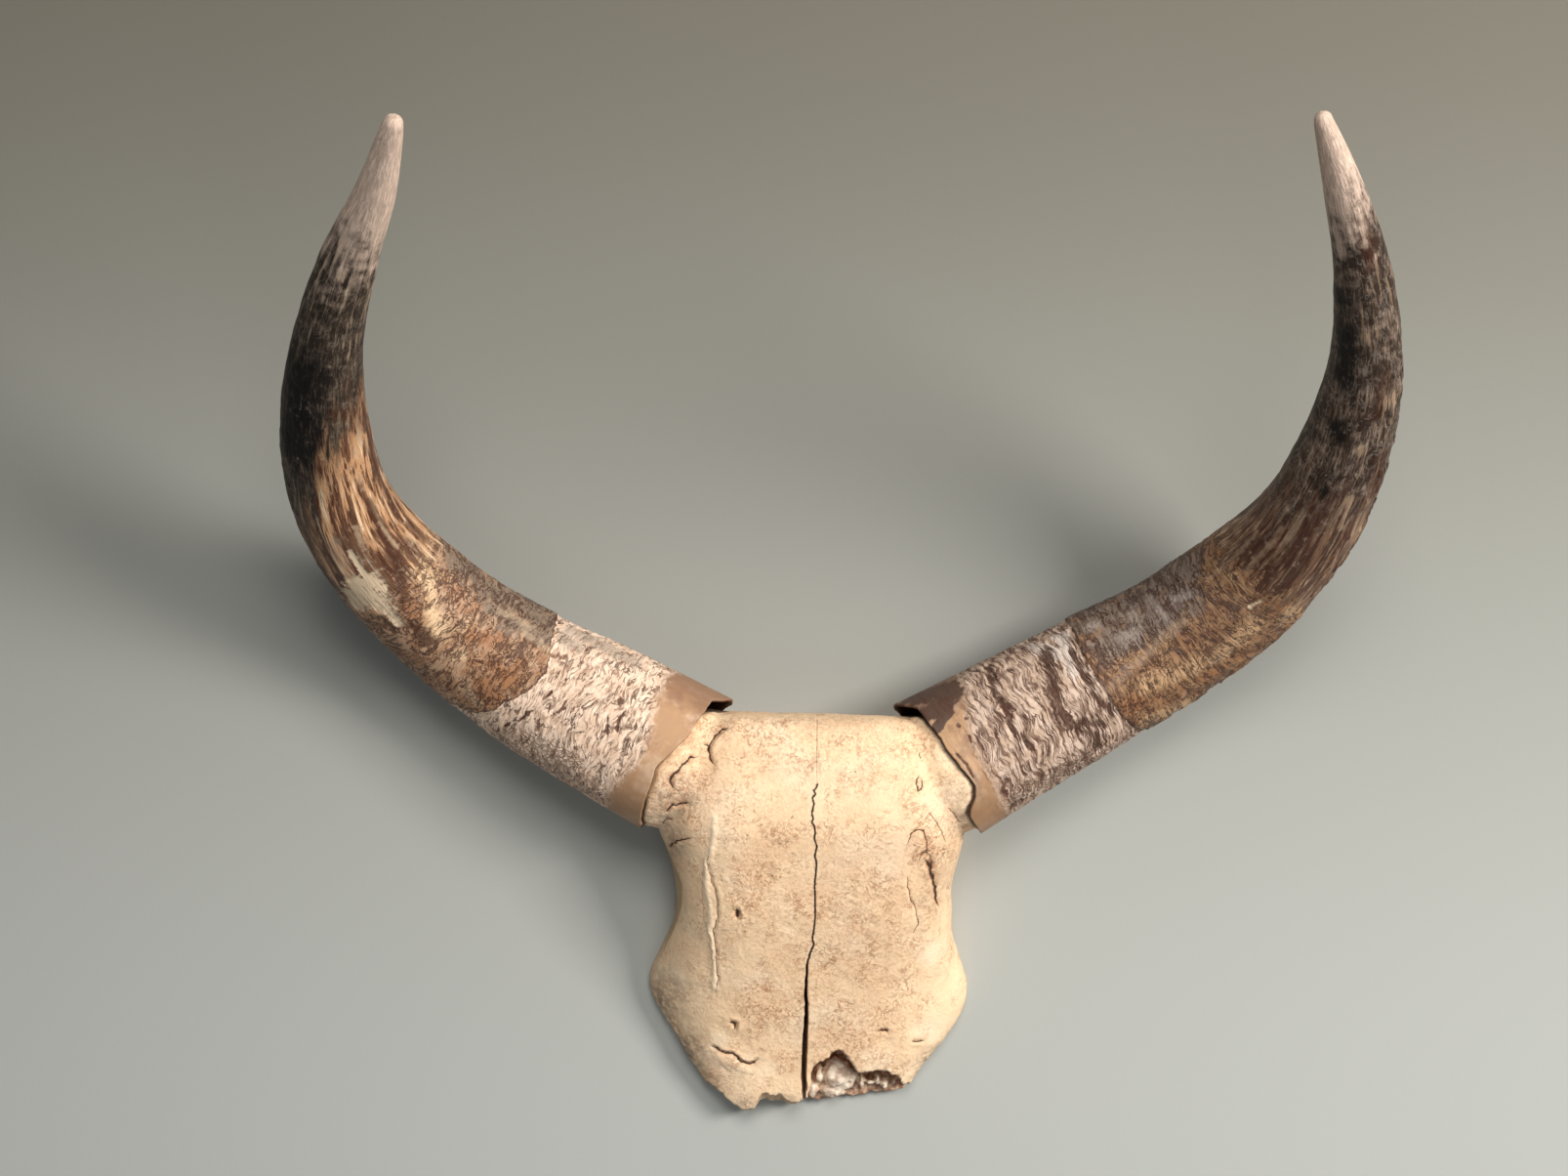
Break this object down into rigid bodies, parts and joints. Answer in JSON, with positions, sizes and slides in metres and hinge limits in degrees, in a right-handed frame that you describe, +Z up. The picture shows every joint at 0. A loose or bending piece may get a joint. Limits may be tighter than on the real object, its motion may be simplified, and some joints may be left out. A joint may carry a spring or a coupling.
{
  "type": "cattle frontlet with horns",
  "caption": "Skull cap of a long-horned steer: the frontal bones with upswept horns in their sheaths, sawn flat at the back and lying face up.",
  "frame": {"origin": "under the middle of the bounding box, on the level of the sawn back that the frontlet lies on", "axes": "+X across the face to the viewer's right, along the horn spread; +Y up the forehead from the nose end to the poll and horn tips; +Z up from the sawn back, out of the face"},
  "size_m": [0.7592, 0.682, 0.4228],
  "materials": {
    "bone": "dry weathered bone, warm cream with pinkish brown mottling",
    "old_bone": "rough sawn and broken bone of the back",
    "horn_core": "porous bone inside the sheath",
    "horn": "weathered keratin: flaking pinkish grey at the root, burnt orange and dark brown in the middle, near black above and pale at the tip"
  },
  "bodies": {
    "root": {"frontal_left": "bone", "frontal_right": "bone", "parietal": "old_bone", "horn_core_left": "horn_core", "horn_core_right": "horn_core", "horn_sheath_left": "horn", "horn_sheath_right": "horn"}
  },
  "joints": []
}
